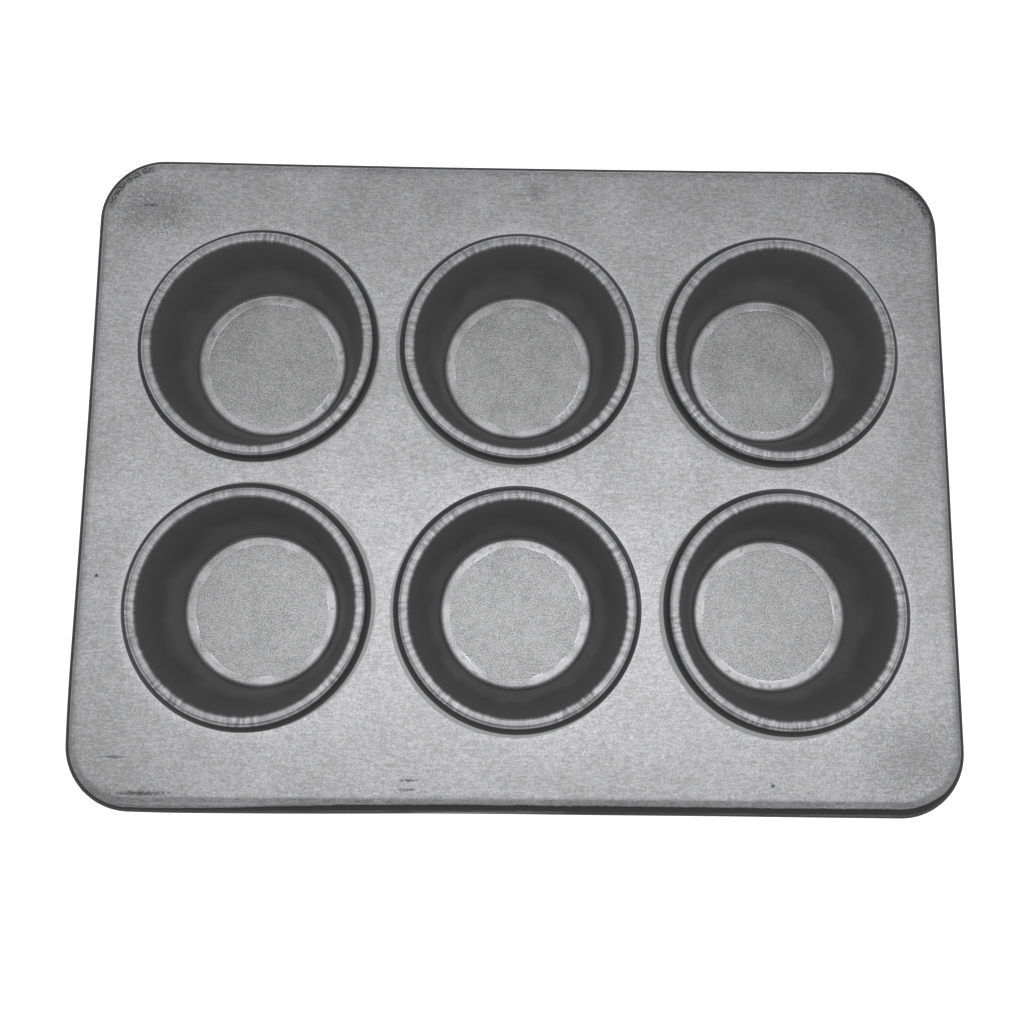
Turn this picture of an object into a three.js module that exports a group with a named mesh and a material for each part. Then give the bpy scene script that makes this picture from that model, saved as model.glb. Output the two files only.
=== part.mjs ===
// A bakery muffin pan: one flat sheet-steel frame rolled round a stiffening wire at its edge,
// and drawn cups whose curled lips lock over collars turned up round the holes of the frame.
// Millimetres, +Z up. The origin is on the table, under the middle of the pan.
import * as THREE from "three";
import { mergeVertices } from "three/addons/utils/BufferGeometryUtils.js";

// Driving dimensions
const SHEET = 0.6; // steel thickness of the frame and of the cups
const COLUMNS = ["left", "middle", "right"]; // cups along X
const ROWS = ["front", "back"]; // cups along Y
const CUP_GAP = 11.9; // between the lips of neighbouring cups, both ways
const END_MARGIN = 21.2; // from the outer cups' lips to the frame's ends, along X
const SIDE_MARGIN = 32.45; // from the cups' lips to the frame's long sides, along Y
const CORNER_RADIUS = 26; // outside radius of the frame's corners, over the rolled edge
const MOUTH_RADIUS = 42.2; // inside of a cup where its wall meets the lip
const FLOOR_RADIUS = 30.2; // flat part of a cup's floor
const FLOOR_FILLET = 2.2; // inside radius between the floor and the wall
const CUP_DEPTH = 33; // from the top of the lip down to the floor, inside
const LIP_WIDTH = 4.6; // from the mouth out to the far side of the lip
const MOUTH_BEND = 0.9; // outside radius between the wall and the flat top of the lip
const CURL_RADIUS = 1.9; // outside radius of the lip's curled edge
const CURL_TURN = 140; // degrees that the edge curls, from the flat top outwards, down and under
const COLLAR_BEND = 1; // radius between the dish and a collar, on the outside
const DISH_WIDTH = 2.7; // ring of the frame round a collar, pressed down when the lip was locked over it
const DISH_DEPTH = 0.4;
const WIRE_DIAMETER = 4.8;
const ROLL_TURN = 305; // degrees that the frame's edge rolls round the wire
const CLEARANCE = 0.3; // between pieces that are locked together

// Facets
const ROUND_STEPS = 32; // round a cup
const CORNER_STEPS = 6; // round a corner of the frame
const WIRE_SIDES = 8;
const SAME_POINT = 1e-4; // corners closer than this are one point
const BEND_STEPS = 2; // round each of the small bends
const CURL_STEPS = [2, 2]; // round the lip's edge, out to its side and on from there
const ROLL_STEPS = [3, 7]; // round the frame's edge, out to its side and on from there

// Sizes that follow from the driving dimensions
const LIP_TOP_Z = SHEET + CUP_DEPTH;
const CUP_DIAMETER = 2 * (MOUTH_RADIUS + LIP_WIDTH); // over the lip
const CUP_PITCH = CUP_DIAMETER + CUP_GAP;
const FRAME_LENGTH = (COLUMNS.length - 1) * CUP_PITCH + CUP_DIAMETER + 2 * END_MARGIN;
const FRAME_WIDTH = (ROWS.length - 1) * CUP_PITCH + CUP_DIAMETER + 2 * SIDE_MARGIN;
const CURL_CENTRE = new THREE.Vector2(MOUTH_RADIUS + LIP_WIDTH - CURL_RADIUS, LIP_TOP_Z - CURL_RADIUS);
const CURL_END = THREE.MathUtils.degToRad(90 - CURL_TURN); // direction of the curl's cut edge
// The collar stands inside the lip, clear of its top and of its curl, and the curl clears the dish.
const COLLAR_RADIUS = CURL_CENTRE.x - CLEARANCE; // outside of the collar
const COLLAR_TOP_Z = LIP_TOP_Z - SHEET - CLEARANCE;
const DISH_Z = CURL_CENTRE.y + CURL_RADIUS * Math.sin(CURL_END) - CLEARANCE; // at the collar's foot
const FRAME_TOP_Z = DISH_Z + DISH_DEPTH;
const ROLL_RADIUS = WIRE_DIAMETER / 2 + CLEARANCE + SHEET; // outside radius of the rolled edge
const ROLL_CENTRE_Z = FRAME_TOP_Z - ROLL_RADIUS;
const FLAT_LENGTH = FRAME_LENGTH - 2 * ROLL_RADIUS; // flat part of the frame, between the rolls
const FLAT_WIDTH = FRAME_WIDTH - 2 * ROLL_RADIUS;
const FLAT_CORNER = CORNER_RADIUS - ROLL_RADIUS;

// Finishes
const frameSteel = new THREE.MeshStandardMaterial({ color: 0xb4b4b7, roughness: 0.42, metalness: 1 });
const cupSteel = new THREE.MeshStandardMaterial({ color: 0xa6a6a9, roughness: 0.45, metalness: 1 });
const wireSteel = new THREE.MeshStandardMaterial({ color: 0x7c7d80, roughness: 0.5, metalness: 1 });

// Points of an arc, from one angle to another.
function arc(centre, radius, from, to, steps) {
  return Array.from({ length: steps + 1 }, (_, i) => {
    const angle = from + ((to - from) * i) / steps;
    return new THREE.Vector2(centre.x + radius * Math.cos(angle), centre.y + radius * Math.sin(angle));
  });
}

// Points of a bend that runs through a stop on its way, with a number of steps to each stop.
function bendThrough(centre, radius, [from, stop, to], [first, second]) {
  return [...arc(centre, radius, from, stop, first), ...arc(centre, radius, stop, to, second).slice(1)];
}

// A circle of points about a cup's centre.
function circleLoop(centre) {
  return (radius, height) =>
    Array.from({ length: ROUND_STEPS }, (_, i) => {
      const angle = (2 * Math.PI * i) / ROUND_STEPS;
      return new THREE.Vector3(
        centre.x + radius * Math.cos(angle),
        centre.y + radius * Math.sin(angle),
        height,
      );
    });
}

// A rounded rectangle of points, a distance outside the flat part of the frame.
function edgeLoop(outside, height) {
  const x = FLAT_LENGTH / 2 - FLAT_CORNER;
  const y = FLAT_WIDTH / 2 - FLAT_CORNER;
  const centres = [
    new THREE.Vector2(x, y),
    new THREE.Vector2(-x, y),
    new THREE.Vector2(-x, -y),
    new THREE.Vector2(x, -y),
  ];
  return centres.flatMap((centre, corner) => {
    const start = (corner * Math.PI) / 2;
    const bend = arc(centre, FLAT_CORNER + outside, start, start + Math.PI / 2, CORNER_STEPS);
    return bend.map((p) => new THREE.Vector3(p.x, p.y, height));
  });
}

// Triangles of the skin between loops that each run anticlockwise, seen from above.
// The section starts on the top face and runs inwards or outwards from there.
function stripBetween(loops, inwards, closed) {
  const triangles = [];
  const last = closed ? loops.length : loops.length - 1;
  for (let j = 0; j < last; j++) {
    const a = loops[j];
    const b = loops[(j + 1) % loops.length];
    for (let i = 0; i < a.length; i++) {
      const next = (i + 1) % a.length;
      const quad = inwards ? [b[i], a[i], a[next], b[next]] : [a[i], b[i], b[next], a[next]];
      triangles.push(quad[0], quad[1], quad[2], quad[0], quad[2], quad[3]);
    }
  }
  return triangles;
}

// A flat face between an outline and holes, all at one height.
function flatFace(outline, holes, up) {
  const flat = (loop) => loop.map((p) => new THREE.Vector2(p.x, p.y));
  const points = [outline, ...holes].flat();
  return THREE.ShapeUtils.triangulateShape(flat(outline), holes.map(flat)).flatMap(([a, b, c]) => {
    const [p, q, r] = [points[a], points[b], points[c]];
    const anticlockwise = (q.x - p.x) * (r.y - p.y) - (q.y - p.y) * (r.x - p.x) > 0;
    return anticlockwise === up ? [p, q, r] : [p, r, q];
  });
}

// One closed body from a list of triangle corners.
function bodyOf(triangles) {
  const geometry = new THREE.BufferGeometry().setFromPoints(triangles);
  const merged = mergeVertices(geometry, SAME_POINT);
  merged.computeVertexNormals();
  return merged;
}

// Section of the rolled edge: from the top of the roll round its outside, and back along its inside.
function rollSection() {
  const centre = new THREE.Vector2(0, ROLL_CENTRE_Z);
  const stops = [Math.PI / 2, 0, Math.PI / 2 - THREE.MathUtils.degToRad(ROLL_TURN)];
  return [
    ...bendThrough(centre, ROLL_RADIUS, stops, ROLL_STEPS),
    ...bendThrough(centre, ROLL_RADIUS - SHEET, stops, ROLL_STEPS).reverse(),
  ];
}

// Section of a collar: from the frame's top face up its outside, over its edge and down to the underside.
function collarSection() {
  const centre = new THREE.Vector2(COLLAR_RADIUS + COLLAR_BEND, DISH_Z + COLLAR_BEND);
  const dish = centre.x + DISH_WIDTH;
  return [
    new THREE.Vector2(dish, FRAME_TOP_Z),
    ...arc(centre, COLLAR_BEND, -Math.PI / 2, -Math.PI, BEND_STEPS),
    new THREE.Vector2(COLLAR_RADIUS, COLLAR_TOP_Z),
    new THREE.Vector2(COLLAR_RADIUS - SHEET, COLLAR_TOP_Z),
    ...arc(centre, COLLAR_BEND + SHEET, -Math.PI, -Math.PI / 2, BEND_STEPS),
    new THREE.Vector2(dish, FRAME_TOP_Z - SHEET),
  ];
}

function cupCentres() {
  return ROWS.flatMap((row, j) =>
    COLUMNS.map((column, i) => ({
      name: `cup_${row}_${column}`,
      x: (i - (COLUMNS.length - 1) / 2) * CUP_PITCH,
      y: (j - (ROWS.length - 1) / 2) * CUP_PITCH,
    })),
  );
}

// The frame is one sheet: two flat faces, joined by the skin of each collar and of the rolled edge.
function frameGeometry() {
  const roll = rollSection().map((p) => edgeLoop(p.x, p.y));
  const collars = cupCentres().map((centre) => collarSection().map((p) => circleLoop(centre)(p.x, p.y)));
  return bodyOf([
    ...flatFace(
      roll[0],
      collars.map((loops) => loops[0]),
      true,
    ),
    ...flatFace(
      roll.at(-1),
      collars.map((loops) => loops.at(-1)),
      false,
    ),
    ...stripBetween(roll, false, false),
    ...collars.flatMap((loops) => stripBetween(loops, true, false)),
  ]);
}

// The wire lies in the middle of the roll, all round.
function wireGeometry() {
  const centre = new THREE.Vector2(0, ROLL_CENTRE_Z);
  const section = arc(centre, WIRE_DIAMETER / 2, 2 * Math.PI, 0, WIRE_SIDES).slice(0, -1);
  return bodyOf(
    stripBetween(
      section.map((p) => edgeLoop(p.x, p.y)),
      false,
      true,
    ),
  );
}

// Section of a cup, from the middle of its floor up the inside, round the lip, and back down the outside.
function cupSection() {
  const fillet = new THREE.Vector2(FLOOR_RADIUS, SHEET + FLOOR_FILLET);
  const mouth = new THREE.Vector2(MOUTH_RADIUS + MOUTH_BEND, LIP_TOP_Z - MOUTH_BEND);
  // The wall touches the far side of the fillet and the near side of the mouth's bend.
  const across = mouth.clone().sub(fillet);
  const lean = Math.atan2(across.x, across.y) - Math.asin((FLOOR_FILLET + MOUTH_BEND) / across.length());
  // One side of the sheet: the floor's fillet turns one way, and the mouth and the curl turn the other way.
  const side = (inset) => [
    new THREE.Vector2(0, SHEET - inset),
    ...arc(fillet, FLOOR_FILLET + inset, -Math.PI / 2, -lean, BEND_STEPS),
    ...arc(mouth, MOUTH_BEND - inset, Math.PI - lean, Math.PI / 2, BEND_STEPS),
    ...bendThrough(CURL_CENTRE, CURL_RADIUS - inset, [Math.PI / 2, 0, CURL_END], CURL_STEPS),
  ];
  return [...side(0), ...side(SHEET).reverse()];
}

// A cup is drawn from one round blank, so it is a revolved section.
function cupGeometry() {
  const section = cupSection().reverse();
  return new THREE.LatheGeometry(section, ROUND_STEPS).rotateX(Math.PI / 2);
}

function piece(name, geometry, material) {
  const mesh = new THREE.Mesh(geometry, material);
  mesh.name = name;
  return mesh;
}

const pan = new THREE.Group();
pan.add(piece("frame_sheet", frameGeometry(), frameSteel));
pan.add(piece("rim_wire", wireGeometry(), wireSteel));
for (const { name, x, y } of cupCentres()) {
  const cup = piece(name, cupGeometry(), cupSteel);
  cup.position.set(x, y, 0);
  pan.add(cup);
}

export default pan;
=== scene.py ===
"""A bakery muffin pan in dull silver steel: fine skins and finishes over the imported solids.

Metres, +Z up, with the front row of cups towards -Y."""

import math
from types import SimpleNamespace

import bpy
from mathutils import Matrix, Vector, noise
from mathutils.geometry import tessellate_polygon


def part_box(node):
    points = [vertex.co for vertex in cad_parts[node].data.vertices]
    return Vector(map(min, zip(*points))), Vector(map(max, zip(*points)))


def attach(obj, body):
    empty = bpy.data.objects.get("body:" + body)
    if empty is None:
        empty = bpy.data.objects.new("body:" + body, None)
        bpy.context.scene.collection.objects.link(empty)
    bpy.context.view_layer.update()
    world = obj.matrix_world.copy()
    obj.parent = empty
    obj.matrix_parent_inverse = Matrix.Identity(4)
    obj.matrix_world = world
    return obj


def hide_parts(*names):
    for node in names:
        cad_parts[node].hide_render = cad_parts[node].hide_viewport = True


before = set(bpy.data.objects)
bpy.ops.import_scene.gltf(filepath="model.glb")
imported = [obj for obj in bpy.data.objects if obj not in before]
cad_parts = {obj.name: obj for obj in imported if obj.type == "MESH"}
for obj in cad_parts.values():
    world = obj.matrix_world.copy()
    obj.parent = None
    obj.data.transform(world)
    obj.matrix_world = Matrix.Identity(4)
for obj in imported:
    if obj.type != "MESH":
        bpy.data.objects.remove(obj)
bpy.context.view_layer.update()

MM = 0.001
QUARTER = math.pi / 2

# Sheet metal
SHEET = 0.6 * MM
CLEARANCE = 0.3 * MM  # between pieces that are locked together

# The frame's rolled edge
CORNER_RADIUS = 26 * MM  # over the roll
ROLL_TURN = math.radians(305)
ROLL_START = 1.6 * MM  # how far inside the wire's axis the front edge starts to turn down
TURN_FADE = (-140 * MM, -60 * MM)  # that early turn fades out between these places along X
EASE_WIDTH = 1.6 * MM  # sloping strip beside the roll
EASE_CORNER = 1.0 * MM  # how much wider the strip gets at a bent corner
EASE_LEAD = 0.5 * MM  # level strip just inside the slope
EASE_START = 0.06  # share of the sag where the slope starts
FLAT_LEAD = 1.0 * MM  # level strip where the loops of the edge start
EDGE_SAG = 0.08 * MM  # how far the roll lies below the flat part
SAG_SPREAD = 0.4  # share of the sag that comes and goes along the edge
SAG_LENGTH = 14 * MM
CORNER_SAG = 0.25 * MM  # how much lower the roll is at a bent corner
BENT_CORNERS = {(1, 1): 1.0, (-1, 1): 0.55, (-1, -1): 0.3, (1, -1): 0.3}  # by side along X and Y
BENT_REACH = 17 * MM

# How far the edge of this used pan strays inwards
EDGE_WAVE = 0.35 * MM
WAVE_LENGTH = 60 * MM
LONG_BOW = 0.7 * MM  # the long sides, at their middles
LEFT_BOW = 0.5 * MM
PUSHED_IN = 1.2 * MM  # the front left corner
PUSHED_REACH = 32 * MM

# The seams between the cups' lips and the frame
LIP_WIDTH = 4.6 * MM
MOUTH_BEND = 1.2 * MM
CURL_RADIUS = 1.9 * MM
CURL_END = math.radians(-50)
COLLAR_BEND = 1.0 * MM
DISH_WIDTH = 2.7 * MM  # ring pressed down round a collar
SINK_WIDTH = 3.2 * MM  # the frame sinks gently outside that ring
SINK_DEPTH = 0.1 * MM
SINK_LEAD = 0.5 * MM  # level strip outside the sink

# The cups' floors
FLOOR_RADIUS = 30.2 * MM
FLOOR_FILLET = 2.2 * MM
FLOOR_EDGE = 0.5 * MM  # level strip beside the fillet
DRAW_RING_RADIUS = 27.4 * MM  # faint groove that the drawing punch leaves
DRAW_RING_DEPTH = 0.05 * MM
CENTRE_RING_RADIUS = 7.0 * MM
CENTRE_RING_DEPTH = 0.02 * MM
GROOVE_HALF = 0.5 * MM
GROOVE_SECTION = ((-1.6, 0), (-1, 0), (-0.5, 0.5), (0, 1), (0.5, 0.5), (1, 0), (1.6, 0))

# Unevenness of the curled lips
LIP_WRINKLE = 0.05 * MM
LIP_WRINKLE_PITCH = 22.0  # noise cells across a lip's radius
LIP_WAVE = 0.18 * MM
LIP_WAVE_PITCH = 1.3
LIP_WAVE_SEED = 7.3
CUP_SEED = 3.7

# Mesh density
LIP_STEPS = 360
COLLAR_STEPS = 240
CORNER_STEPS = 24
SIDE_STEPS = 60
ROLL_STEPS = 40
EASE_STEPS = 4
SINK_STEPS = 5
DISH_STEPS = 4
BEND_STEPS = 7
CURL_STEPS = 14
WALL_STEPS = 6
LIP_TOP_STEPS = 3
INNER_FLOOR = (1 * MM, 4 * MM)  # rings of points inside the groove at a floor's centre
OUTER_FLOOR = (12 * MM, 19 * MM, 25 * MM)  # and outside it
SHARP_ANGLE = math.radians(40)

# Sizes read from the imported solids
frame_low, frame_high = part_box("frame_sheet")
wire_low, wire_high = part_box("rim_wire")
ROLL_RADIUS = (wire_high.z - wire_low.z) / 2 + (frame_high.x - wire_high.x)
FRAME_TOP_Z = (wire_high.z + wire_low.z) / 2 + ROLL_RADIUS
FLAT_HALF_LENGTH = frame_high.x - ROLL_RADIUS
FLAT_HALF_WIDTH = frame_high.y - ROLL_RADIUS
FLAT_CORNER = CORNER_RADIUS - ROLL_RADIUS
CUP_NODES = sorted(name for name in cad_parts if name.startswith("cup_"))
cup_low, cup_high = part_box(CUP_NODES[0])
LIP_TOP_Z = cup_high.z
LIP_RADIUS = (cup_high.x - cup_low.x) / 2
MOUTH_RADIUS = LIP_RADIUS - LIP_WIDTH
CURL_CENTRE = Vector((LIP_RADIUS - CURL_RADIUS, LIP_TOP_Z - CURL_RADIUS))
COLLAR_RADIUS = CURL_CENTRE.x - CLEARANCE
COLLAR_TOP_Z = LIP_TOP_Z - SHEET - CLEARANCE
DISH_Z = CURL_CENTRE.y + CURL_RADIUS * math.sin(CURL_END) - CLEARANCE
DISH_RADIUS = COLLAR_RADIUS + COLLAR_BEND + DISH_WIDTH


def cup_centre(node):
    low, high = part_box(node)
    middle = (low + high) / 2
    return Vector((middle.x, middle.y, 0))


BLUE_TRACE = 1.015


def grey(level):
    """A neutral steel grey with a trace of blue."""
    return (level, level, level * BLUE_TRACE, 1)


class Signal:
    """A value that varies over a surface. Arithmetic on it adds Math nodes to its finish."""

    def __init__(self, finish, socket):
        self.finish = finish
        self.socket = socket

    def __add__(self, other):
        return self.finish.maths("ADD", self, other)

    def __sub__(self, other):
        return self.finish.maths("SUBTRACT", self, other)

    def __rsub__(self, other):
        return self.finish.maths("SUBTRACT", other, self)

    def __mul__(self, other):
        return self.finish.maths("MULTIPLY", self, other)

    __radd__ = __add__
    __rmul__ = __mul__


# The Mix node's sockets for colours, which share their names with those for numbers and vectors
MIX_FIRST, MIX_SECOND, MIX_RESULT = 6, 7, 2

BAND_CORE = 0.3  # share of a band that is at full strength


class Finish:
    """The nodes of a material, or of the room, under construction."""

    def __init__(self, name, kind=bpy.data.materials):
        self.owner = kind.new(name)
        self.owner.use_nodes = True
        self.tree = self.owner.node_tree
        self.tree.nodes.clear()

    def node(self, kind, settings=None, sockets=None, output=0):
        """A node of that type: its settings first, then the values or links of its sockets."""
        made = self.tree.nodes.new(kind)
        for key, value in (settings or {}).items():
            setattr(made, key, value)
        for key, value in (sockets or {}).items():
            if isinstance(value, Signal):
                self.tree.links.new(value.socket, made.inputs[key])
            else:
                made.inputs[key].default_value = value
        return Signal(self, made.outputs[output]) if made.outputs else made

    def maths(self, operation, *values):
        return self.node("ShaderNodeMath", {"operation": operation}, dict(enumerate(values)))

    def vector(self, operation, *values, output=0):
        sockets = dict(enumerate(values))
        return self.node("ShaderNodeVectorMath", {"operation": operation}, sockets, output)

    def place(self):
        """Where a point lies on its piece, in metres."""
        return self.node("ShaderNodeTexCoord", output="Object")

    def spot(self):
        """Where a point lies in the pan, in metres."""
        return self.node("ShaderNodeNewGeometry", output="Position")

    def upward(self):
        """How far a surface faces up, from -1 to 1."""
        return self.axis(self.node("ShaderNodeNewGeometry", output="Normal"), "Z")

    def axis(self, vector, name):
        return self.node("ShaderNodeSeparateXYZ", None, {"Vector": vector}, name)

    def distance(self, vector):
        return self.vector("LENGTH", vector, output="Value")

    def size(self, value):
        return self.maths("ABSOLUTE", value)

    def most(self, first, *others):
        for other in others:
            first = self.maths("MAXIMUM", first, other)
        return first

    def least(self, first, *others):
        for other in others:
            first = self.maths("MINIMUM", first, other)
        return first

    def cloud(self, vector, size, detail):
        """Noise from 0 to 1 with lumps of that size."""
        sockets = {"Vector": vector, "Scale": 1 / size, "Detail": detail}
        return self.node("ShaderNodeTexNoise", {"noise_dimensions": "3D"}, sockets, "Fac")

    def ramp(self, value, low, high):
        """0 below low, 1 above high, and smooth between."""
        sockets = {"Value": value, "From Min": low, "From Max": high}
        return self.node("ShaderNodeMapRange", {"interpolation_type": "SMOOTHSTEP"}, sockets)

    def step(self, value, middle, half):
        """0 before an edge, 1 past it, and smooth across it."""
        return self.ramp(value, middle - half, middle + half)

    def band(self, value, middle, half):
        """1 in the middle of a band, 0 outside it."""
        return 1 - self.ramp(self.size(value - middle), BAND_CORE * half, half)

    def blend(self, factor, first, second):
        """One colour turning into another."""
        sockets = {"Factor": factor, MIX_FIRST: first, MIX_SECOND: second}
        settings = {"data_type": "RGBA", "blend_type": "MIX"}
        return self.node("ShaderNodeMix", settings, sockets, MIX_RESULT)

    def shade(self, value, limits, levels):
        """A grey that goes from one level to another while a value goes from limit to limit."""
        return self.blend(self.ramp(value, *limits), *map(grey, levels))

    def bump(self, height, distance):
        sockets = {"Height": height, "Distance": distance, "Strength": 1.0}
        return self.node("ShaderNodeBump", None, sockets)

    def surface(self, sockets):
        """The end of a material: one Principled surface."""
        shader = self.node("ShaderNodeBsdfPrincipled", None, sockets)
        self.node("ShaderNodeOutputMaterial", None, {"Surface": shader})
        return self.owner

    def steel(self, colour, roughness, normal, metallic=1.0):
        sockets = {"Base Color": colour, "Roughness": roughness, "Metallic": metallic}
        return self.surface({**sockets, "Normal": normal})


# Greys and grain that the finishes share
SPARKLE_GREY = 0.98
# Grey of the painted highlights on the frame round the cups and on the cups' floors
HIGHLIGHT_GREY = 0.86
GRIME_AND_SHADE_GREY = 0.05
FINE = 0.6 * MM
BUMP_DEPTH = 0.02 * MM
STEEL_ROUGHNESS = 0.36
SEAM_SHADE = 0.85  # strength of the painted shade in the seams between the lips and the frame

# The frame's plate
ALONG_GRAIN = (0.2, 1, 1)  # the sheet was rolled along X, which drew its grain out
FRAME_MOTTLE = 2.2 * MM
FRAME_PATCHES = 28 * MM
PLATE_TONES = (0.75, 1.25)
PLATE_GREYS = (0.44, 0.76)
SPARKLE_TONES = (0.76, 0.82)
SPARKLE_PATCHES = (0.45, 0.6)

# Dark rings round the cups, partly marks that the pressing tool left and partly painted shade:
# their radius, and how far they lie off the cups' axes, in millimetres
TOOL_RADIUS = 48.7 * MM
TOOL_EDGE = 0.15 * MM
TOOL_RAGGED = 0.5 * MM
TOOL_OFFSETS = {
    "cup_back_left": (0.6, -0.2),
    "cup_back_middle": (-1.3, -1.0),
    "cup_back_right": (-1.5, -0.9),
    "cup_front_left": (1.5, 0.4),
    "cup_front_middle": (-1.1, -1.1),
    "cup_front_right": (-1.6, -1.2),
}
PRESSED_AND_SHADE_GREY = 0.3
HIGHLIGHT_OFFSET = (0.1 * MM, 0.9 * MM)  # painted highlight where a point lies this much farther from the dark ring's centre than from the cup's axis
HIGHLIGHT_WIDTH = 1.2 * MM
HIGHLIGHT_RAGGED = 2 * MM
HIGHLIGHT_STRENGTH = 0.5

# Painted shade on the frame all round the lips, in the seams under their curls
SEAM_SHADE_RADIUS = 48.5 * MM
SEAM_SHADE_EDGE = 0.2 * MM

# Marks of use on the frame's top, and broad patches at corners that are partly painted shade: place
# along X and Y, half length and half width, all in millimetres, and depth of the colour
MARKS_AND_CORNER_SHADE = (
    (-152.5, 111.5, 4.5, 0.6, 0.8),
    # Broad patch at the back left corner: partly a smudge, partly painted shade where the light
    # falls off
    (-150.0, 110.0, 15.0, 10.0, 0.38),
    (6.5, 120.5, 4.0, 4.0, 0.34),
    (158.5, 105.0, 0.8, 0.7, 0.7),
    (148.0, 102.5, 4.0, 0.7, 0.3),
    (-164.0, -41.5, 0.9, 0.6, 0.8),
    (-152.5, -110.5, 5.0, 0.5, 0.5),
    (-142.0, -124.0, 10.0, 0.9, 0.7),
    (-41.0, -118.5, 3.0, 0.5, 0.6),
    (-41.5, -122.0, 4.0, 0.5, 0.5),
    (98.0, -119.5, 0.8, 0.7, 0.9),
    # Broad patches at the back right and front right corners: partly smudges, partly painted shade
    (156.0, 116.0, 24.0, 15.0, 0.2),
    (154.0, -110.0, 18.0, 14.0, 0.14),
)
MARK_RAGGED = 2.4
MARK_FADE = (0.2, 1.5)  # in half lengths and half widths of a mark

# Wear along the frame's edge, and painted shade on its roll. An inset is a distance in from the
# edge, a fall is one down from the plate
EDGE_RAGGED = 1.6 * MM
CORNER_FADE = (1 * MM, 7 * MM)
BACK_FADE = (0, 20 * MM)
RIGHT_FADE = (-10 * MM, 10 * MM)
FORE_FADE = (0.6, 1)
WORN_FADE = (70 * MM, 110 * MM)
SPECKLE_TONES = (0.4, 0.54)
STRIP_INSET = (3.0 * MM, 4.6 * MM)  # worn strip along the short sides
CREASE_INSET, CREASE_HALF = 4.2 * MM, 2.3 * MM  # creases at the bent corners
DOTS_INSET, DOTS_HALF = 3.4 * MM, 0.9 * MM  # dotted line along the left side
DOTS_STRENGTH = 0.4
STREAKS_INSET = ROLL_RADIUS + ROLL_START + 0.8 * MM  # streaks along the front's early turn
STREAKS_HALF = 1.6 * MM
STREAKS_TONES = (0.45, 0.65)
ROLL_INSET = (6.5 * MM, 7.5 * MM)  # the roll's painted shade ends here at the latest
ROLL_DARK = (0.24 * MM, 0.34 * MM)  # fall at which the roll turns dark with painted shade
ROLL_PALE = (2.2 * MM, 3.4 * MM)  # fall at which it turns paler again
ROLL_PALER = 0.7  # by this share
ROLL_RAGGED = 0.12 * MM
FRONT_LEAD = 0.13 * MM  # how much higher the painted shade starts along the front
GLEAM_FALL, GLEAM_HALF = 1.25 * MM, 0.35 * MM  # faint gleam along the front's roll
GLEAM_RAGGED = 0.5 * MM
GLEAM_PATCHES = (0.35, 0.6)
GLEAM_STRENGTH = 0.16
LEAST_REACH = 1 * MM  # keeps a division away from zero
GRIME_AND_SHADE_ROUGHER, GRIME_AND_SHADE_DULLER = 0.35, 0.8


def nearest(finish, place, centres):
    """Distance from the nearest of some upright axes."""
    distances = []
    for centre in centres:
        offset = finish.vector("SUBTRACT", place, (centre.x, centre.y, 0))
        distances.append(finish.distance(finish.vector("MULTIPLY", offset, (1, 1, 0))))
    return finish.least(*distances)


def sheet_noises(finish):
    """A place on the frame, and the noises of rolled sheet there."""
    place = finish.place()
    mottle = finish.cloud(place, FRAME_MOTTLE, 4)
    return SimpleNamespace(
        place=place,
        grain=finish.cloud(finish.vector("MULTIPLY", place, ALONG_GRAIN), FINE, 3),
        mottle=mottle,
        ragged=mottle - 0.5,
        fine=finish.cloud(place, FINE, 2),
        patches=finish.cloud(place, FRAME_PATCHES, 4),
    )


def plate_colour(finish, sheet):
    """Mottled grey with the rolling grain, and sparkles in patches."""
    tone = sheet.mottle * 0.3 + sheet.fine * 0.8 + sheet.grain * 0.55 + sheet.patches * 0.35
    specks = finish.ramp(finish.cloud(sheet.place, FINE, 0), *SPARKLE_TONES)
    sparkle = specks * finish.ramp(sheet.patches, *SPARKLE_PATCHES)
    return finish.blend(sparkle, finish.shade(tone, PLATE_TONES, PLATE_GREYS), grey(SPARKLE_GREY))


def pressed_colour(finish, sheet, from_axis, colour):
    """Dark rings round the cups, partly what the pressing tool left and partly painted shade, and a
    painted highlight opposite.
    """
    tools = [cup_centre(node) + Vector((*TOOL_OFFSETS[node], 0)) * MM for node in CUP_NODES]
    from_tool = nearest(finish, sheet.place, tools)
    # Painted highlight: a pale crescent on the frame opposite each dark ring
    painted_highlight = finish.ramp(from_tool - from_axis, *HIGHLIGHT_OFFSET)
    wandering = from_axis + sheet.ragged * HIGHLIGHT_RAGGED
    painted_highlight = painted_highlight * (1 - finish.ramp(wandering, DISH_RADIUS, DISH_RADIUS + HIGHLIGHT_WIDTH))
    colour = finish.blend(painted_highlight * HIGHLIGHT_STRENGTH, colour, grey(HIGHLIGHT_GREY))
    # Partly a pressed mark, partly painted shade on the side towards which each ring is set off
    pressed = 1 - finish.step(from_tool + sheet.ragged * TOOL_RAGGED, TOOL_RADIUS, TOOL_EDGE)
    return finish.blend(pressed * (0.65 + sheet.fine * 0.3), colour, grey(PRESSED_AND_SHADE_GREY))


def marks_and_corner_shade(finish, sheet):
    """How dark the scuffs and specks of use and the painted shade at the corners are, from 0 to 1.
    """
    ragged = (sheet.fine - 0.5) * MARK_RAGGED
    marks = []
    for x, y, half_length, half_width, depth in MARKS_AND_CORNER_SHADE:
        offset = finish.vector("SUBTRACT", sheet.place, (x * MM, y * MM, FRAME_TOP_Z))
        stretch = (1 / (half_length * MM), 1 / (half_width * MM), 0)
        scaled = finish.vector("MULTIPLY", offset, stretch)
        marks.append((1 - finish.ramp(finish.distance(scaled) + ragged, *MARK_FADE)) * depth)
    return finish.most(*marks)


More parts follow.
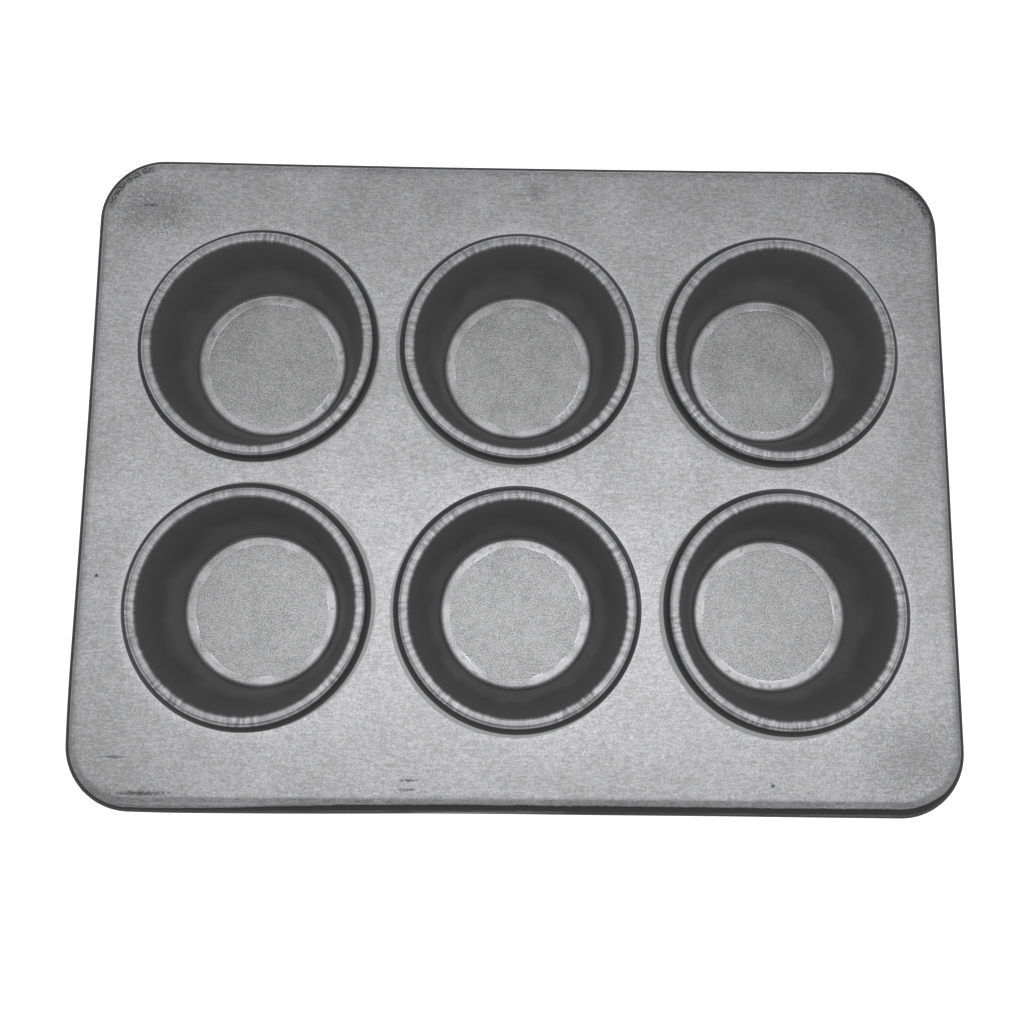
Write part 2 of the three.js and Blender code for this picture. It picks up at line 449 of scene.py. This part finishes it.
def edge_wear_and_shade(finish, sheet):
    """How dark the frame's edge is, from 0 to 1: worn strips, creases, dots and streaks, and
    painted shade on the turned-down roll, less a faint gleam along the front.
    """
    x, y, z = (finish.axis(sheet.place, name) for name in "XYZ")
    along = finish.most(finish.size(x) - (frame_high.x - CORNER_RADIUS), 0)
    across = finish.most(finish.size(y) - (frame_high.y - CORNER_RADIUS), 0)
    past = finish.maths("SQRT", along * along + across * across)
    reach = finish.most(past, LEAST_REACH)
    inset = CORNER_RADIUS - past
    jagged = inset + sheet.ragged * EDGE_RAGGED
    back = finish.ramp(y, *BACK_FADE)
    right = finish.ramp(x, *RIGHT_FADE)
    corner = finish.ramp(finish.least(along, across), *CORNER_FADE)
    flank = finish.maths("DIVIDE", along, reach)
    fore = finish.ramp((1 - back) * finish.maths("DIVIDE", across, reach), *FORE_FADE)
    front = fore * finish.ramp(x, *TURN_FADE)
    speckle = finish.ramp(sheet.fine, *SPECKLE_TONES)

    worn = finish.most(corner, flank * finish.ramp(y, *WORN_FADE)) * back * right
    strip = (1 - finish.ramp(jagged, *STRIP_INSET)) * (flank * 0.3 + worn * 0.55)
    strip = strip * (0.6 + speckle * 0.4)
    crease = finish.band(jagged, CREASE_INSET, CREASE_HALF) * corner * speckle * (0.3 + back * 0.65)
    dots = finish.band(jagged, DOTS_INSET, DOTS_HALF) * flank * (1 - right) * speckle
    streaks = finish.band(inset, STREAKS_INSET, STREAKS_HALF) * fore
    streaks = streaks * (0.22 + finish.ramp(sheet.grain, *STREAKS_TONES) * 0.35)

    # Painted shade on the roll's turned-down side, starting a little higher along the front
    fall = FRAME_TOP_Z - z
    turned = fall + sheet.ragged * ROLL_RAGGED + front * FRONT_LEAD
    roll = finish.ramp(turned, *ROLL_DARK) * (1 - finish.ramp(inset, *ROLL_INSET))
    roll = roll * (1 - finish.ramp(fall, *ROLL_PALE) * ROLL_PALER)
    gleam = finish.band(fall + sheet.ragged * GLEAM_RAGGED, GLEAM_FALL, GLEAM_HALF) * front
    gleam = gleam * finish.ramp(sheet.patches, *GLEAM_PATCHES) * GLEAM_STRENGTH
    return finish.most(strip, crease, streaks, dots * DOTS_STRENGTH, roll) * (1 - gleam)


def frame_finish():
    """Rolled sheet: mottled and sparkling, with pressing marks, painted shade and painted
    highlights round the cups, wear and marks of use, and painted shade at the seams and on the
    roll.
    """
    finish = Finish("frame_steel")
    sheet = sheet_noises(finish)
    from_axis = nearest(finish, sheet.place, [cup_centre(node) for node in CUP_NODES])
    colour = pressed_colour(finish, sheet, from_axis, plate_colour(finish, sheet))
    # Painted shade: the frame is dark near each cup, in the seam under the lip's curl
    seam_shade = (1 - finish.step(from_axis, SEAM_SHADE_RADIUS, SEAM_SHADE_EDGE)) * SEAM_SHADE
    # Marks of use and wear, with the painted shade of the seams, the roll and three corners, in one
    # dark grey
    grime_and_shade = finish.most(seam_shade, marks_and_corner_shade(finish, sheet), edge_wear_and_shade(finish, sheet))
    colour = finish.blend(grime_and_shade, colour, grey(GRIME_AND_SHADE_GREY))
    uneven = (sheet.patches - 0.5) * 0.12 + (sheet.grain - 0.5) * 0.12
    normal = finish.bump(sheet.grain * 0.5 + sheet.mottle * 0.7 + sheet.patches * 6, BUMP_DEPTH)
    roughness = STEEL_ROUGHNESS + uneven + grime_and_shade * GRIME_AND_SHADE_ROUGHER
    return finish.steel(colour, roughness, normal, 1 - grime_and_shade * GRIME_AND_SHADE_DULLER)


# The cups' floors
CUP_MOTTLE = 2.4 * MM
CUP_PATCHES = 16 * MM
ARC_SIZE = 0.7  # stretches along a ring, in radians
FLOOR_TONES = (0.72, 1.28)
FLOOR_GREYS = (0.29, 0.68)
SHELF_EDGE = 0.6 * MM  # painted highlight: the floor is paler from the punch's groove outwards
SHELF_ARCS = (0.36, 0.56)
SHELF_STRENGTH = 0.5
STAIN_AND_SHADE_GREY = 0.12
STAIN_INSET, STAIN_HALF = 1.0 * MM, 1.6 * MM  # stains just inside the fillet
STAIN_TONES = (0.53, 0.66)
STAIN_STRENGTH = 0.5
GLINT_HALF = 0.45 * MM
GLINT_ARCS = (0.5, 0.6)
GLINT_TONES = (0.38, 0.5)
FLOOR_FADE = (FLOOR_RADIUS - 0.8 * MM, FLOOR_RADIUS + 1.0 * MM)  # painted shade, dark towards the fillet
FLOOR_RAGGED = 1.5 * MM
FADE_STRENGTH = 0.7

# The cups' walls, darkened with painted shade
WALL_FOOT = (0.62 * MM, 2.8 * MM)
WALL_FACING = (-0.1, 0.1)  # only the inner side, which faces up a little
WALL_FADE = (4 * MM, 20 * MM)  # the wall darkens between these heights
WALL_RAGGED = 20 * MM
WALL_SHADE_GREYS = (0.27, 0.15)
WALL_SHADE_STRENGTH = 0.95

# The cups' lips
CRIMP_SIZE = 0.055  # along the lip, in radians
CRIMP_SWEEP = 9  # how fast the crimps change with place in the pan
CRIMP_TONES = (0.38, 0.62)
CRIMP_ARCS = (0.42, 0.6)
CRIMP_LEAST = 0.4  # strength of the crimps where the lip is smoothest
CRIMP_MIDDLE = 0.6
LIP_GREYS = (0.3, 0.68)
LIP_INNER = (MOUTH_RADIUS - 0.3 * MM, MOUTH_RADIUS + 1.3 * MM)  # the walls' painted shade turns into grey lip
LIP_RAGGED = 1.2 * MM
CURL_OUTER = (CURL_CENTRE.x, CURL_CENTRE.x + 0.4 * MM)
CURL_SHADE = (0.4 * MM, 0.8 * MM)  # how far below the lip's top the painted shade under the curl starts
CUP_ROUGHER, CUP_DULLER = 0.22, 0.6  # on the walls and under the curl, where shade is painted


def cup_noises(finish):
    """A place on its cup, and the noises of drawn steel there."""
    place = finish.place()
    spot = finish.spot()
    level = finish.vector("MULTIPLY", place, (1, 1, 0))
    around = finish.vector("NORMALIZE", level)
    sweep = finish.vector("MULTIPLY", spot, (CRIMP_SWEEP, CRIMP_SWEEP, 0))
    swept = finish.vector("ADD", around, sweep)
    return SimpleNamespace(
        radius=finish.distance(level),
        height=finish.axis(place, "Z"),
        fine=finish.cloud(spot, FINE, 2),
        mottle=finish.cloud(spot, CUP_MOTTLE, 4),
        patches=finish.cloud(spot, CUP_PATCHES, 4),
        crimps=finish.cloud(swept, CRIMP_SIZE, 2),
        arcs=finish.cloud(swept, ARC_SIZE, 1),
    )


def floor_colour(finish, cup):
    """Mottled grey with a painted highlight on the shelf, stains, glints along the punch's groove
    and painted shade at the edge.
    """
    tone = cup.mottle * 0.35 + cup.fine * 1.25 + cup.patches * 0.4
    colour = finish.shade(tone, FLOOR_TONES, FLOOR_GREYS)
    # Painted highlight on the shelf outside the punch's groove, in some stretches of it
    shelf = finish.ramp(cup.radius, DRAW_RING_RADIUS, DRAW_RING_RADIUS + SHELF_EDGE)
    shelf = shelf * finish.ramp(cup.arcs, *SHELF_ARCS)
    colour = finish.blend(shelf * SHELF_STRENGTH, colour, grey(HIGHLIGHT_GREY))
    stains = finish.band(cup.radius, FLOOR_RADIUS - STAIN_INSET, STAIN_HALF)
    stains = stains * finish.ramp(cup.mottle * 0.6 + cup.arcs * 0.4, *STAIN_TONES)
    colour = finish.blend(stains * STAIN_STRENGTH, colour, grey(STAIN_AND_SHADE_GREY))
    glint = finish.band(cup.radius, DRAW_RING_RADIUS, GLINT_HALF)
    glint = glint * finish.ramp(cup.arcs, *GLINT_ARCS) * finish.ramp(cup.fine, *GLINT_TONES)
    colour = finish.blend(glint, colour, grey(SPARKLE_GREY))
    # Painted shade: the floor darkens towards the fillet
    edge = finish.ramp(cup.radius + (cup.mottle - 0.5) * FLOOR_RAGGED, *FLOOR_FADE)
    return finish.blend(edge * FADE_STRENGTH, colour, grey(STAIN_AND_SHADE_GREY))


def lip_colour(finish, cup):
    """Fine crimps, strong in some stretches of a lip and faint in others."""
    crimps = finish.ramp(cup.crimps * 0.6 + cup.fine * 0.4, *CRIMP_TONES) - CRIMP_MIDDLE
    strength = CRIMP_LEAST + finish.ramp(cup.arcs, *CRIMP_ARCS) * (1 - CRIMP_LEAST)
    return finish.blend(CRIMP_MIDDLE + crimps * strength, *map(grey, LIP_GREYS))


def cup_finish():
    """Drawn steel: a mottled floor, walls darkened with painted shade and a crimped lip with
    painted shade under its curl.
    """
    finish = Finish("cup_steel")
    cup = cup_noises(finish)
    lip = finish.ramp(cup.radius + (cup.crimps - 0.5) * LIP_RAGGED, *LIP_INNER)
    # Painted shade over the inner walls, darker towards the top
    wall = finish.ramp(cup.height, *WALL_FOOT) * finish.ramp(finish.upward(), *WALL_FACING)
    wall = wall * (1 - lip)
    wall_shade_grey = finish.shade(cup.height + (cup.patches - 0.5) * WALL_RAGGED, WALL_FADE, WALL_SHADE_GREYS)
    colour = finish.blend(wall * WALL_SHADE_STRENGTH, floor_colour(finish, cup), wall_shade_grey)
    colour = finish.blend(lip, colour, lip_colour(finish, cup))
    curl = finish.ramp(cup.radius, *CURL_OUTER)
    # Painted shade on the outer, lower side of the lip's curl, in the seam above the frame
    seam_shade = finish.ramp(LIP_TOP_Z - cup.height, *CURL_SHADE) * curl * SEAM_SHADE
    colour = finish.blend(seam_shade, colour, grey(GRIME_AND_SHADE_GREY))
    dull = finish.most(seam_shade, wall)
    uneven = (cup.patches - 0.5) * 0.15 + (cup.fine - 0.5) * 0.12
    normal = finish.bump(cup.fine * 0.5 + cup.mottle * 0.6 + lip * cup.crimps * 1.5, BUMP_DEPTH)
    roughness = STEEL_ROUGHNESS + uneven + dull * CUP_ROUGHER
    return finish.steel(colour, roughness, normal, 1 - dull * CUP_DULLER)


# The wire
ALONG_WIRE = (0.1, 0.1, 1)
DIE_MARKS = 0.4 * MM
DIE_DEPTH = 0.01 * MM
WIRE_PATCHES = 15 * MM
WIRE_GREYS = (0.3, 0.42)
WIRE_ROUGHNESS = 0.42


def wire_finish():
    """Plain drawn wire with faint die marks."""
    finish = Finish("wire_steel")
    place = finish.place()
    marks = finish.cloud(finish.vector("MULTIPLY", place, ALONG_WIRE), DIE_MARKS, 2)
    colour = finish.blend(finish.cloud(place, WIRE_PATCHES, 2), *map(grey, WIRE_GREYS))
    return finish.steel(colour, WIRE_ROUGHNESS + marks * 0.15, finish.bump(marks, DIE_DEPTH))


def arc(centre, radius, start, end, steps):
    """Points of an arc, in plan or in a section, where they are (distance, height)."""
    x, y = centre[0], centre[1]
    angles = [start + (end - start) * i / steps for i in range(steps + 1)]
    return [Vector((x + radius * math.cos(a), y + radius * math.sin(a))) for a in angles]


def line(start, end, steps):
    """Points between two points of a section, without the first."""
    return [Vector(start).lerp(Vector(end), i / steps) for i in range(1, steps + 1)]


def ring(centre, radius, height, steps):
    """Points of a level circle."""
    return [Vector((p.x, p.y, height)) for p in arc(centre, radius, 0, 2 * math.pi, steps)[:-1]]


def underside(section):
    """The other side of a sheet, from the points of its upper or outer side."""
    moved = []
    for i, point in enumerate(section):
        run = section[min(i + 1, len(section) - 1)] - section[max(i - 1, 0)]
        moved.append(point + Vector((run.y, -run.x)).normalized() * SHEET)
    return moved


def smooth(value, low, high):
    """0 below low, 1 above high, and smooth between."""
    share = min(max((value - low) / (high - low), 0), 1)
    return share * share * (3 - 2 * share)


def near(point, place, reach):
    """1 at a place, fading to 0 round it."""
    away = (point - place).length / reach
    return math.exp(-away * away)


def waves(place):
    """Noise from 0 to 1."""
    return 0.5 + 0.5 * noise.noise(place)


def bent(point):
    """How much a corner of the frame has been knocked down at a place, from 0 to 1."""
    middle = CORNER_RADIUS * (1 - math.sqrt(0.5))
    total = 0.0
    for (along, across), amount in BENT_CORNERS.items():
        corner = Vector((along * (frame_high.x - middle), across * (frame_high.y - middle)))
        total += amount * near(point, corner, BENT_REACH)
    return total


def strayed(point, direction):
    """How far the real edge lies inside a true rounded rectangle."""
    long_side = abs(direction.y) * math.cos(QUARTER * point.x / frame_high.x) ** 2
    left_side = max(0, -direction.x) * math.cos(QUARTER * point.y / frame_high.y) ** 2
    pushed = PUSHED_IN * near(point, frame_low.xy, PUSHED_REACH)
    wave = EDGE_WAVE * waves(point.to_3d() / WAVE_LENGTH)
    return wave + LONG_BOW * long_side + LEFT_BOW * left_side + pushed


def edge_points(outside):
    """A rounded rectangle outside the flat part of the frame, and its outward directions."""
    x = FLAT_HALF_LENGTH - FLAT_CORNER
    y = FLAT_HALF_WIDTH - FLAT_CORNER
    reach = FLAT_CORNER + outside
    corners = [Vector(place) for place in ((x, y), (-x, y), (-x, -y), (x, -y))]
    points = []
    for number, corner in enumerate(corners):
        following = corners[(number + 1) % len(corners)]
        bend = arc((0, 0), 1, number * QUARTER, (number + 1) * QUARTER, CORNER_STEPS)
        straight = bend[-1]
        points += [(corner + direction * reach, direction) for direction in bend]
        side = line(corner + straight * reach, following + straight * reach, SIDE_STEPS)
        points += [(point, straight) for point in side[:-1]]
    return points


def edge_loop(outside, height, ease, sag, lead):
    """A loop of the frame's edge: the strip beside the roll takes the ease, the roll takes the sag.

    The lead is the share of the early turn that the front edge takes."""
    loop = []
    for point, direction in edge_points(outside):
        knock = bent(point)
        front = max(0, -direction.y) ** 2 * smooth(point.x, *TURN_FADE)
        inwards = strayed(point, direction) + ease * EASE_CORNER * knock + lead * ROLL_START * front
        uneven = SAG_SPREAD * noise.noise(point.to_3d() / SAG_LENGTH)
        drop = sag * (EDGE_SAG * (1 + uneven) + CORNER_SAG * knock)
        place = point - direction * inwards
        loop.append(Vector((place.x, place.y, height - drop)))
    return loop


class Skin:
    """Points and faces of one mesh."""

    def __init__(self):
        self.points = []
        self.faces = []

    def add_loop(self, loop):
        first = len(self.points)
        self.points += [tuple(p) for p in loop]
        return list(range(first, len(self.points)))

    def strip(self, loops, inwards=False):
        """Faces between loops that run anticlockwise, whose section starts on the top face."""
        for a, b in zip(loops, loops[1:]):
            for i in range(len(a)):
                j = (i + 1) % len(a)
                self.faces.append((b[i], a[i], a[j], b[j]) if inwards else (a[i], b[i], b[j], a[j]))

    def flat(self, outline, holes, up):
        """A level face between an outline and holes."""
        rings = [outline, *holes]
        numbers = [n for one in rings for n in one]
        corners = [[Vector(self.points[n]) for n in one] for one in rings]
        for a, b, c in tessellate_polygon(corners):
            p, q, r = (Vector(self.points[numbers[n]]) for n in (a, b, c))
            face = (numbers[a], numbers[b], numbers[c])
            self.faces.append(face if ((q - p).cross(r - p).z > 0) == up else face[::-1])

    def cap(self, loop, point, up):
        """A fan of faces from a loop to one point."""
        middle = self.add_loop([point])[0]
        for i in range(len(loop)):
            j = (i + 1) % len(loop)
            self.faces.append((middle, loop[i], loop[j]) if up else (middle, loop[j], loop[i]))

    def piece(self, name, material):
        mesh = bpy.data.meshes.new(name)
        mesh.from_pydata(self.points, [], self.faces)
        mesh.shade_smooth()
        mesh.set_sharp_from_angle(angle=SHARP_ANGLE)
        mesh.materials.append(material)
        made = bpy.data.objects.new(name, mesh)
        bpy.context.scene.collection.objects.link(made)
        return made


def edge_loops(skin):
    """Loops of the frame's edge, from the flat top out, round the roll, to the flat underside."""
    start = -2 * (EASE_WIDTH + EASE_CORNER)
    level = [(start, 0, 0, 0), (start + FLAT_LEAD, 0, 0, 0)]
    level += [(-EASE_WIDTH - EASE_LEAD, 1, 0, 1), (-EASE_WIDTH, 1, EASE_START, 1)]
    shares = [i / EASE_STEPS for i in range(1, EASE_STEPS)]
    slope = [(-EASE_WIDTH * (1 - share), 1 - share, share, 1) for share in shares]
    top = [(outside, FRAME_TOP_Z, ease, sag, lead) for outside, ease, sag, lead in level + slope]
    axis = (0, FRAME_TOP_Z - ROLL_RADIUS)
    outer = arc(axis, ROLL_RADIUS, QUARTER, QUARTER - ROLL_TURN, ROLL_STEPS)
    turns = [ROLL_TURN * i / ROLL_STEPS for i in range(ROLL_STEPS + 1)]
    leads = [1 - math.sin(min(turn, QUARTER)) for turn in turns]
    roll = [(p.x, p.y, 0, 1, lead) for p, lead in zip(outer, leads)]
    inner = [(p.x, p.y, 0, 1, lead) for p, lead in zip(underside(outer), leads)]
    below = [(outside, height - SHEET, ease, sag, lead) for outside, height, ease, sag, lead in top]
    return [skin.add_loop(edge_loop(*place)) for place in top + roll + inner[::-1] + below[::-1]]


def collar_section():
    """A hole's edge: level sheet, a gentle sink, the pressed dish, the collar, and back below."""
    foot = Vector((COLLAR_RADIUS + COLLAR_BEND, DISH_Z))
    centre = foot + Vector((0, COLLAR_BEND))
    sink = []
    for share in (i / SINK_STEPS for i in range(SINK_STEPS + 1)):
        depth = SINK_DEPTH * smooth(share, 0, 1)
        sink.append(Vector((DISH_RADIUS + SINK_WIDTH * (1 - share), FRAME_TOP_Z - depth)))
    top = [sink[0] + Vector((SINK_LEAD, 0)), *sink, *line(sink[-1], foot, DISH_STEPS)]
    outer = arc(centre, COLLAR_BEND, -QUARTER, -math.pi, BEND_STEPS)[1:]
    rim = [Vector((COLLAR_RADIUS, COLLAR_TOP_Z)), Vector((COLLAR_RADIUS - SHEET, COLLAR_TOP_Z))]
    inner = arc(centre, COLLAR_BEND + SHEET, -math.pi, -QUARTER, BEND_STEPS)[:-1]
    below = [point - Vector((0, SHEET)) for point in reversed(top)]
    return top + outer + rim + inner + below


def make_frame(material):
    """One sheet: two level faces joined by the skins of the rolled edge and of each collar."""
    skin = Skin()
    roll = edge_loops(skin)
    collars = []
    for centre in map(cup_centre, CUP_NODES):
        rings = [ring(centre, p.x, p.y, COLLAR_STEPS) for p in collar_section()]
        collars.append([skin.add_loop(one) for one in rings])
    skin.flat(roll[0], [loops[0] for loops in collars], True)
    skin.flat(roll[-1], [loops[-1] for loops in collars], False)
    skin.strip(roll)
    for loops in collars:
        skin.strip(loops, inwards=True)
    made = skin.piece("frame_pressing", material)
    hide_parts("frame_sheet")
    return made


def level_rings(radii, height):
    """Points of a floor, each with no share of the lip's wrinkles and no depth."""
    return [(Vector((radius, height)), 0, 0) for radius in radii]


def groove(middle, depth, height):
    """Points of a small groove in a cup's floor, with how deep each lies."""
    points = []
    for offset, share in GROOVE_SECTION:
        points.append((Vector((middle + GROOVE_HALF * offset, height)), 0, depth * share))
    return points


def cup_side(inset):
    """One side of a cup's sheet, from the middle of the floor to the cut edge of the curl.

    Each point comes with its share of the lip's wrinkles and its depth in a groove of the floor."""
    fillet = Vector((FLOOR_RADIUS, SHEET + FLOOR_FILLET))
    mouth = Vector((MOUTH_RADIUS + MOUTH_BEND, LIP_TOP_Z - MOUTH_BEND))
    across = mouth - fillet
    lean = math.atan2(across.x, across.y) - math.asin((FLOOR_FILLET + MOUTH_BEND) / across.length)
    corner = arc(fillet, FLOOR_FILLET + inset, -QUARTER, -lean, BEND_STEPS)
    bend = arc(mouth, MOUTH_BEND - inset, math.pi - lean, QUARTER, BEND_STEPS)
    curl = arc(CURL_CENTRE, CURL_RADIUS - inset, QUARTER, CURL_END, CURL_STEPS)
    wall = line(corner[-1], bend[0], WALL_STEPS)[:-1]
    top = line(bend[-1], curl[0], LIP_TOP_STEPS)[:-1]
    height = SHEET - inset
    floor = level_rings(INNER_FLOOR, height)
    if inset == 0:
        floor += groove(CENTRE_RING_RADIUS, CENTRE_RING_DEPTH, height)
        floor += level_rings(OUTER_FLOOR, height)
        floor += groove(DRAW_RING_RADIUS, DRAW_RING_DEPTH, height)
    floor += level_rings([FLOOR_RADIUS - FLOOR_EDGE], height)
    body = [(p, 0, 0) for p in corner + wall]
    rising = [(p, i / len(bend), 0) for i, p in enumerate(bend)]
    return floor + body + rising + [(p, 1, 0) for p in top + curl]


def cup_loop(point, wrinkle, depth, seed):
    """A ring of a cup: wrinkled where the lip was curled over, and uneven along the grooves."""
    loop = []
    for place in ring(Vector((0, 0, 0)), point.x, point.y, LIP_STEPS):
        direction = Vector((place.x, place.y, 0)).normalized()
        fine = waves(direction * LIP_WRINKLE_PITCH + Vector((0, 0, seed)))
        slow = waves(direction * LIP_WAVE_PITCH + Vector((0, 0, seed + LIP_WAVE_SEED)))
        drop = LIP_WRINKLE * wrinkle * fine + depth * slow
        loop.append(place - Vector((0, 0, drop)) - direction * LIP_WAVE * wrinkle * slow)
    return loop


def make_cup(node, seed, material):
    """One drawn cup, at its own axis."""
    skin = Skin()
    section = cup_side(0) + cup_side(SHEET)[::-1]
    loops = [skin.add_loop(cup_loop(*place, seed)) for place in section]
    skin.strip(loops)
    skin.cap(loops[0], (0, 0, SHEET), True)
    skin.cap(loops[-1], (0, 0, 0), False)
    made = skin.piece(node + "_drawn", material)
    made.location = cup_centre(node)
    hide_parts(node)
    return made


def make_pan():
    """The frame and the cups replace their solids. The wire stays as packed, in its own finish."""
    cup_steel = cup_finish()
    pieces = {"frame_steel": [make_frame(frame_finish())], "cup_steel": []}
    for number, node in enumerate(CUP_NODES):
        pieces["cup_steel"].append(make_cup(node, CUP_SEED * number, cup_steel))
    for slot, made in pieces.items():
        for piece in made:
            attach(piece, "root")
    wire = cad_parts["rim_wire"]
    wire.data.materials.clear()
    wire.data.materials.append(wire_finish())


# The studio
CAMERA_PLACE = Vector((-8.1, -79.7, 450.0)) * MM
CAMERA_AIM = Vector((-2.5, -15.3, 33.5)) * MM
CAMERA_ROLL = math.radians(0.5)
CLIP_START = 0.01
LENS_MM = 37.76
SENSOR_MM = 36
SOFTBOXES = {  # place, width, depth and watts
    "wide_softbox": ((-0.06, 0.21, 1.15), 1.5, 1.0, 2.65),
    "strip_softbox": ((0.25, -0.1, 1.14), 1.4, 0.4, 0.95),
    "small_softbox": ((-0.03, 0.03, 1.13), 0.9, 0.25, 0.24),
}
ROOM_GREYS = (0.65, 0.12)  # pale walls and a dim ceiling
ROOM_FADE = (0.4, 0.85)  # from wall to ceiling, as the upward share of a direction
TABLE_HALF = 6.0
TABLE_SPECKLE = 2 * MM
TABLE_GREYS = (0.9, 0.94)
TABLE_ROUGHNESS = 0.8
TABLE_GLOW = 0.8


def make_camera():
    """It looks down from a little in front of the pan, with the back row at the picture's top."""
    look = (CAMERA_AIM - CAMERA_PLACE).normalized()
    right = look.cross(Vector((0, 1, 0))).normalized()
    up = right.cross(look)
    turn = Matrix((right, up, -look)).transposed().to_4x4()
    data = bpy.data.cameras.new("camera")
    data.lens = LENS_MM
    data.sensor_width = SENSOR_MM
    data.clip_start = CLIP_START
    camera = bpy.data.objects.new("camera", data)
    roll = Matrix.Rotation(CAMERA_ROLL, 4, "Z")
    camera.matrix_world = Matrix.Translation(CAMERA_PLACE) @ turn @ roll
    bpy.context.scene.collection.objects.link(camera)
    bpy.context.scene.camera = camera


def make_lights():
    """Softboxes that face straight down: a wide one over the back, two over the front row."""
    for name, (place, width, depth, watts) in SOFTBOXES.items():
        data = bpy.data.lights.new(name, "AREA")
        data.shape = "RECTANGLE"
        data.size = width
        data.size_y = depth
        data.energy = watts
        light = bpy.data.objects.new(name, data)
        light.location = place
        bpy.context.scene.collection.objects.link(light)


def make_room():
    """The room that the steel mirrors."""
    room = Finish("room", bpy.data.worlds)
    upward = room.axis(room.node("ShaderNodeTexCoord", output="Generated"), "Z")
    colour = room.shade(upward, ROOM_FADE, ROOM_GREYS)
    background = room.node("ShaderNodeBackground", None, {"Color": colour})
    room.node("ShaderNodeOutputWorld", None, {"Surface": background})
    bpy.context.scene.world = room.owner


def make_table():
    """A plain white table, bright enough to read as white round the pan."""
    finish = Finish("white_table")
    dark, pale = ((level, level, level, 1) for level in TABLE_GREYS)
    sockets = {
        "Base Color": finish.blend(finish.cloud(finish.place(), TABLE_SPECKLE, 2), dark, pale),
        "Roughness": TABLE_ROUGHNESS,
        "Emission Color": (1, 1, 1, 1),
        "Emission Strength": TABLE_GLOW,
    }
    mesh = bpy.data.meshes.new("table")
    sides = ((-1, -1), (1, -1), (1, 1), (-1, 1))
    corners = [(x * TABLE_HALF, y * TABLE_HALF, 0) for x, y in sides]
    mesh.from_pydata(corners, [], [(0, 1, 2, 3)])
    mesh.materials.append(finish.surface(sockets))
    table = bpy.data.objects.new("table", mesh)
    bpy.context.scene.collection.objects.link(table)


make_pan()
make_camera()
make_lights()
make_room()
make_table()
bpy.context.scene.view_settings.view_transform = "Standard"
